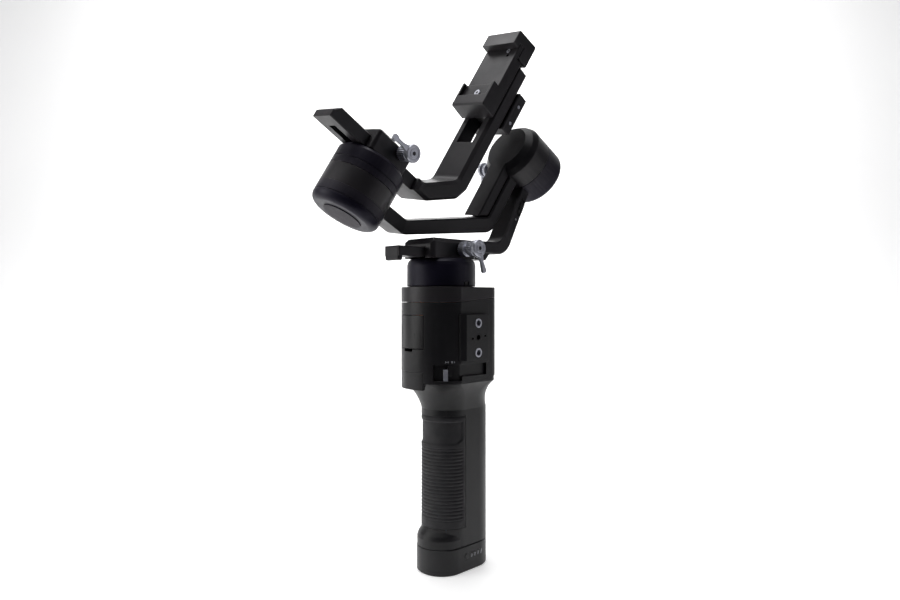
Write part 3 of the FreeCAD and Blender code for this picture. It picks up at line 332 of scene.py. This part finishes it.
# ----------------------------------------------------------------------- grip
SKIN_THICK = 1.45
MIDDLE_FLAT = 0.4  # half the flat between the two quarter rounds of the grip's end
RIB_LOW, RIB_HIGH, RIB_PITCH, RIB_DEPTH = 36.0, 86.5, 2.4, 0.62
RECESS_DEPTH = 0.75
CHEVRON_PITCH, CHEVRON_DEPTH, CHEVRON_SLOPE = 3.0, 0.35, 0.35
RIM_DEPTH, SOFT_RIM_DEPTH = 0.5, 0.14
GRIP_HALF = box_mm("grip_base")[1][0]
GRIP_FRONT, PAD_SEAM = (corner[1] for corner in box_mm("grip_front_pad"))
PAD_LOW, PAD_HIGH = (corner[2] for corner in box_mm("grip_front_pad"))
STRIP_SEAM, GRIP_BACK = (corner[1] for corner in box_mm("grip_back_strip"))
STRIP_LOW, STRIP_HIGH = (corner[2] for corner in box_mm("grip_back_strip"))


def grip_outline(edge_y, seam_y, steps):
    """Points, outward normals and runs from seam to seam round one end of the grip, in mm."""
    radius = GRIP_HALF - MIDDLE_FLAT
    facing = math.copysign(1.0, edge_y - seam_y)
    centre_y = edge_y - facing * radius
    straight = facing * (centre_y - seam_y)
    arc = radius * math.pi / 2.0
    total = 2.0 * (straight + arc + MIDDLE_FLAT)
    points = []
    for step in range(steps + 1):
        run = total * step / steps
        side = 1.0 if run < total / 2.0 else -1.0
        near = min(run, total - run)
        if near < straight:
            x, y, normal = GRIP_HALF, centre_y - facing * (straight - near), (1.0, 0.0)
        elif near < straight + arc:
            angle = (near - straight) / radius
            normal = (math.cos(angle), facing * math.sin(angle))
            x, y = MIDDLE_FLAT + radius * normal[0], centre_y + radius * normal[1]
        else:
            x, y, normal = MIDDLE_FLAT - (near - straight - arc), edge_y, (0.0, facing)
        points.append(((side * x, y), (side * normal[0], normal[1]), run))
    return points, total


def sleeve(name, replaced, edge_y, seam_y, heights, sink):
    """Thin rubber skin whose outer face is pressed in by sink(run, total, height)."""
    points, total = grip_outline(edge_y, seam_y, 96)
    mesh = bmesh.new()
    rows = []
    for height in heights:
        outer, inner = [], []
        for (x, y), (nx, ny), run in points:
            press = sink(run, total, height)
            outer.append(Vector((x - nx * press, y - ny * press, height)) * MM)
            inner.append(Vector((x - nx * SKIN_THICK, y - ny * SKIN_THICK, height)) * MM)
        rows.append(outer + inner[::-1])
    verts = lattice(mesh, rows, close_columns=True)
    for ring in (verts[0], verts[-1]):
        for j in range(len(ring) // 2 - 1):
            mesh.faces.new((ring[j], ring[j + 1], ring[-2 - j], ring[-1 - j]))
    thing = piece(name, mesh, "handle", "grip_rubber", sharp=50.0)
    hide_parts(replaced)


def rising(low, width, value):
    """0 below low, 1 from low + width up."""
    return smooth_step(low, low + width, value)


def falling(high, width, value):
    """1 up to high - width, 0 above high."""
    return 1.0 - smooth_step(high - width, high, value)


def front_sink(run, total, height):
    """Horizontal ribs below, one smooth recess above, rolled-in rims all round."""
    side = min(run, total - run)
    soft = max(falling(0.6, 0.6, side), falling(PAD_LOW + 0.6, 0.6, height))
    rim = max(SOFT_RIM_DEPTH * soft, RIM_DEPTH * rising(PAD_HIGH - 1.3, 1.3, height))
    recess_low = RIB_HIGH + 1.6 + 3.0 * falling(9.0, 7.0, side)
    recess = rising(recess_low, 1.0, height) * falling(PAD_HIGH - 3.1, 1.2, height)
    band = rising(RIB_LOW, 0.8, height) * falling(RIB_HIGH, 0.8, height)
    wave = 0.5 - 0.5 * math.cos(2.0 * math.pi * (height - RIB_LOW) / RIB_PITCH)
    groove = RIB_DEPTH * band * (1.0 - wave) ** 1.6
    return max(rim, rising(2.2, 1.2, side) * max(RECESS_DEPTH * recess, groove))


def back_sink(run, total, height):
    """Fine chevrons, pressed into the back strip."""
    side = min(run, total - run)
    ends = max(falling(STRIP_LOW + 0.9, 0.9, height), rising(STRIP_HIGH - 0.9, 0.9, height))
    rim = RIM_DEPTH * max(falling(0.9, 0.9, side), ends)
    slant = height + CHEVRON_SLOPE * abs(run - total / 2.0)
    wave = 0.5 - 0.5 * math.cos(2.0 * math.pi * slant / CHEVRON_PITCH)
    band = rising(STRIP_LOW + 4.9, 2.0, height) * falling(STRIP_HIGH - 4.9, 2.0, height)
    return max(rim, CHEVRON_DEPTH * band * rising(2.0, 1.5, side) * (1.0 - wave) ** 1.5)


def levels(low, high, fine_low, fine_high, fine):
    """Heights from low to high: closest between the fine limits, close near both ends."""
    found, level = [], low
    while level < high - 0.05:
        found.append(level)
        if fine_low <= level < fine_high:
            level += fine
        elif level < low + 1.2 or level > high - 6.0:
            level += 0.3
        else:
            level += 0.5
    return found + [high]


def build_grip_skins():
    sleeve("ribbed_front_pad", "grip_front_pad", GRIP_FRONT, PAD_SEAM,
           levels(PAD_LOW, PAD_HIGH, RIB_LOW, RIB_HIGH + 6.0, 0.2), front_sink)
    sleeve("back_strip_skin", "grip_back_strip", GRIP_BACK, STRIP_SEAM,
           levels(STRIP_LOW, STRIP_HIGH, STRIP_LOW + 4.9, STRIP_HIGH - 4.9, 0.3), back_sink)


def build_charge_marks():
    """Four slanting light windows in the base, growing with the charge."""
    (inner_x, first_y, low_z), (outer_x, last_y, _) = box_mm("battery_leds")
    count, wide, lean = 4, 0.8, 0.6
    pitch = (last_y - first_y - 1.1) / (count - 1)
    place = Matrix(((0, 0, 1, 0), (1, 0, 0, 0), (0, 1, 0, 0), (0, 0, 0, 1)))
    mesh = bmesh.new()
    for index in range(count):
        start, top_z = first_y + pitch * index, low_z + 2.0 + 0.45 * index
        outline = [(start, low_z), (start + wide, low_z),
                   (start + wide + lean, top_z), (start + lean, top_z)]
        prism(mesh, place, outline, inner_x, outer_x + 0.02)
    marks = piece("charge_marks", mesh, "handle", "led", 0.06, 2)
    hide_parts("battery_leds")


# --------------------------------------------------------------------- levers
def build_lever(name, body, hinge, start, handle, barrel, disc, reach, flat=False):
    """Silver clamp lever: screw, knurled collars, disc with a dark hexagon of painted shade for its socket, and
    slim handle.

    start, barrel and disc are mm along the hinge axis from the hinge's own point:
    the screw's end, (from, to, radius) of each collar, and the disc's near face.
    handle is the way the handle points, and reach its length.
    """
    entry = joint(hinge)
    place = axes(entry["pos_m"], entry["axis"], handle)
    mesh = bmesh.new()
    profile = [(2.4, start), (2.4, barrel[0][0])]
    toothed = []
    for low, high, radius in barrel:
        first = len(profile)
        profile += [(radius - 0.9, low), (radius, low + 0.5),
                    (radius, high - 0.5), (radius - 0.9, high), (3.4, high)]
        toothed += [first + 1, first + 2]
    profile += [(3.4, disc), (5.2, disc), (5.95, disc + 0.6), (5.95, disc + 2.6),
                (5.4, disc + 3.35), (3.9, disc + 3.4), (3.7, disc + 3.1),
                (3.1, disc + 3.1), (2.9, disc + 3.4), (1.6, disc + 3.4)]
    turned(mesh, place, profile, 144, 24, 0.38, toothed)
    end = [(1.0, -1.5), (5.2, -2.2), (reach * 0.55, -1.15)]
    if flat:
        end += [(reach - 4.0, -1.3), (reach - 3.0, -2.2), (reach - 0.4, -2.2), (reach, -1.7)]
    else:
        end += [(reach - 3.2, -1.7), (reach - 1.5, -1.9), (reach - 0.4, -1.4), (reach, -0.5)]
    outline = end + [(x, -y) for x, y in reversed(end)]
    lever = piece(name, mesh, body, "steel", 0.0, 2, 30.0)
    arm = bmesh.new()
    prism(arm, place, outline, disc + 0.5, disc + 2.9)
    handle_piece = piece(name + "_handle", arm, body, "steel", 0.55, 4)
    socket = bmesh.new()
    # dark hexagon on the disc: painted shade for the socket's hollow
    prism(socket, place, hexagon(1.5), disc + 3.0, disc + 3.45)
    painted_hex = piece(name + "_socket", socket, body, "control_dark", 0.1, 2)
    for part in (lever, handle_piece, painted_hex):
        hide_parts(name.replace("_cast", ""))


def build_rail_stop():
    """Rounded end stop on the front end of the pan rail."""
    (_, front_y, low_z), _ = box_mm("pan_arm")
    half, drop, rise = 7.0, 3.0, 6.7
    corners = [(-half, low_z - drop), (half, low_z - drop), (half, low_z + rise), (-half, low_z + rise)]
    place = Matrix(((1, 0, 0, 0), (0, 0, 1, 0), (0, 1, 0, 0), (0, 0, 0, 1)))
    mesh = bmesh.new()
    prism(mesh, place, corners, front_y - 0.3, front_y + 3.8)
    piece("rail_stop", mesh, "pan_arm", "arm_metal", 1.3, 4)


def build_gap_shade_ring():
    """Dark ring that closes the running gap of the tilt motor: painted shade for the gap's hollow."""
    turn = joint("tilt_turn")
    place = axes(turn["pos_m"], turn["axis"], (1.0, 0.0, 0.0))
    seam, gap, play, steps = -98.0, 0.4, 0.02, 96
    outer, inner, low, high = 22.9, 20.9, seam - gap, seam - play
    rows = []
    for radius, height in ((outer, low), (outer, high), (inner, high), (inner, low)):
        turns = [2.0 * math.pi * step / steps for step in range(steps)]
        rows.append([place @ (Vector((radius * math.cos(a), radius * math.sin(a), height)) * MM)
                     for a in turns])
    mesh = bmesh.new()
    # dark ring inside the gap: painted shade
    lattice(mesh, rows, close_rows=True, close_columns=True)
    piece("tilt_gap_shade_ring", mesh, "roll_arm", "control_dark")


def build_stick_dome():
    """Ridged, dished cap of the joystick, over the plain one."""
    low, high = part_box("joystick_cap")
    centre = Vector(((low.x + high.x) / 2.0, high.y, (low.z + high.z) / 2.0))
    place = axes(centre, (0.0, 1.0, 0.0), (1.0, 0.0, 0.0))
    profile = [(1.3, -4.3), (1.3, -1.6), (3.3, -1.65), (3.9, -1.2), (3.9, -0.35), (3.45, 0.0),
               (3.0, 0.0), (2.7, -0.22), (2.2, -0.22), (1.9, -0.05), (1.6, -0.28),
               (0.9, -0.42), (0.2, -0.45)]
    mesh = bmesh.new()
    turned(mesh, place, profile, 96, 20, 0.25, (3, 4))
    dome = piece("stick_dome", mesh, "stick", "control_dark", sharp=45.0)
    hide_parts("joystick_cap")


def build_lock_icons():
    """Tiny printed marks over the grip lock's track."""
    level = box_mm("lock_knob")[1][2] + 5.0
    body_radius = 28.0
    marks = ((-38.0, 0.5, 1.3), (-36.2, 1.1, 0.35), (-34.4, 0.5, 1.3), (-29.0, 1.3, 1.3), (-25.6, 0.4, 1.1))
    mesh = bmesh.new()
    for degrees, wide, tall in marks:
        angle = math.radians(degrees)
        outward = Vector((math.cos(angle), math.sin(angle), 0.0))
        centre = outward * body_radius * MM + Vector((0.0, 0.0, level * MM))
        high, side = tall / 2.0, wide / 2.0
        corners = [(-high, -side), (high, -side), (high, side), (-high, side)]
        prism(mesh, axes(centre, outward, (0.0, 0.0, 1.0)), corners, -0.12, 0.03)
    piece("lock_icons", mesh, "handle", "led")


def build_screw_sockets():
    """Dark hexagons on the two silver screws of the camera clamp: painted shade for their sockets' hollows."""
    along = Vector(joint("tilt_balance")["axis"]).normalized()
    for name, length, radius in (("jaw_bolt", 7.0, 1.25), ("bed_screw", 2.9, 0.75)):
        low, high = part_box(name)
        face = (low + high) / 2.0 - along * (length / 2.0 * MM)
        mesh = bmesh.new()
        # dark hexagon on the screw's end: painted shade for the socket's hollow
        prism(mesh, axes(face, -along, (1.0, 0.0, 0.0)), hexagon(radius), -0.2, 0.03)
        piece(name + "_socket", mesh, "camera_clamp", "control_dark", 0.08, 2)


def build_levers():
    build_lever("pan_lever_cast", "pan_lever", "pan_lever_turn", -2.0, (0.0, 0.33, -0.94),
                [(4.2, 9.6, 5.3), (11.2, 16.2, 5.0)], 17.6, 17.5)
    build_lever("roll_lever_cast", "roll_lever", "roll_lever_turn", -8.0, (0.05, 0.0, -1.0),
                [(3.5, 6.8, 5.3)], 8.0, 16.0)
    build_lever("tilt_lever_cast", "tilt_lever", "tilt_lever_turn", -3.2, (0.0, -0.9, 0.45),
                [(1.4, 9.2, 5.3)], 10.4, 19.0, True)


build_grip_skins()
build_charge_marks()
build_levers()
build_rail_stop()
build_gap_shade_ring()
build_stick_dome()
build_lock_icons()
build_screw_sockets()


# ---------------------------------------------------------------------- stage
def plain(name, colour, rough):
    n = Nodes(name)
    cloud = n.noise(3.0, 3.0)
    tone = n.blend(n.spread(cloud, 0.0, 1.0), colour, tuple(0.97 * c for c in colour))
    return n.finish(tone, rough, n.relief(n.noise(900.0), 0.00002, 0.2))


CAMERA_AZIMUTH = 45.47
CAMERA_PLACE = Vector((0.3436, -0.3295, 0.1876))
CAMERA_LENS = 27.15
FLOOR_NEAR, FLOOR_FAR, FLOOR_BEND, WALL_TOP, FLOOR_SIDE = -0.20, 1.2, 0.8, 3.2, 3.5


def build_floor():
    """Pale floor that curves up into a plain wall behind the object."""
    profile = [(FLOOR_NEAR, 0.0), (FLOOR_FAR, 0.0)]
    bend_steps = 12
    for step in range(1, bend_steps + 1):
        angle = math.radians(90.0 * step / bend_steps)
        profile.append((FLOOR_FAR + FLOOR_BEND * math.sin(angle), FLOOR_BEND * (1 - math.cos(angle))))
    profile.append((FLOOR_FAR + FLOOR_BEND, WALL_TOP))
    mesh = bmesh.new()
    lattice(mesh, [[(side, y, z) for y, z in profile] for side in (FLOOR_SIDE, -FLOOR_SIDE)])
    data = bpy.data.meshes.new("floor")
    mesh.to_mesh(data)
    mesh.free()
    data.shade_smooth()
    floor = bpy.data.objects.new("floor", data)
    floor.rotation_euler = (0.0, 0.0, math.radians(CAMERA_AZIMUTH))
    bpy.context.collection.objects.link(floor)
    paint = plain("floor_paint", (0.82, 0.82, 0.82), 0.6)
    lit = paint.node_tree.nodes["Principled BSDF"]
    lit.inputs["Emission Color"].default_value = (1.0, 1.0, 1.0, 1.0)
    lit.inputs["Emission Strength"].default_value = 0.42
    data.materials.append(paint)


def build_camera():
    data = bpy.data.cameras.new("camera")
    data.lens = CAMERA_LENS
    data.sensor_width = 36.0
    data.clip_start = 0.02
    camera = bpy.data.objects.new("camera", data)
    camera.location = CAMERA_PLACE
    camera.rotation_euler = (math.radians(90.0), 0.0, math.radians(CAMERA_AZIMUTH))
    bpy.context.collection.objects.link(camera)
    bpy.context.scene.camera = camera


def area_light(name, place, target, size, power, tint=(1.0, 1.0, 1.0)):
    data = bpy.data.lights.new(name, "AREA")
    data.shape = "RECTANGLE"
    data.size, data.size_y = size
    data.energy = power
    data.color = tint
    light = bpy.data.objects.new(name, data)
    light.location = place
    aim = Vector(target) - Vector(place)
    light.rotation_euler = aim.to_track_quat("-Z", "Y").to_euler()
    bpy.context.collection.objects.link(light)


def build_lights():
    world = bpy.data.worlds.new("studio")
    world.use_nodes = True
    background = world.node_tree.nodes["Background"]
    background.inputs["Color"].default_value = (0.90, 0.88, 1.0, 1.0)
    background.inputs["Strength"].default_value = 0.05
    bpy.context.scene.world = world
    centre = (0.0, 0.0, 0.20)
    area_light("left_box", (-0.70, -1.10, 0.62), centre, (0.7, 1.0), 9.0, (1.0, 1.0, 0.98))
    area_light("right_box", (1.10, 0.62, 0.55), centre, (0.35, 0.9), 1.2, (0.97, 0.95, 1.0))
    area_light("overhead", (-0.15, -0.15, 1.60), centre, (1.5, 1.2), 22.0)
    area_light("wall_wash", (-0.9, 0.9, 1.5), (-1.6, 1.6, 0.5), (1.6, 0.8), 26.0)
    bpy.context.scene.view_settings.view_transform = "Standard"


build_camera()
build_floor()
build_lights()
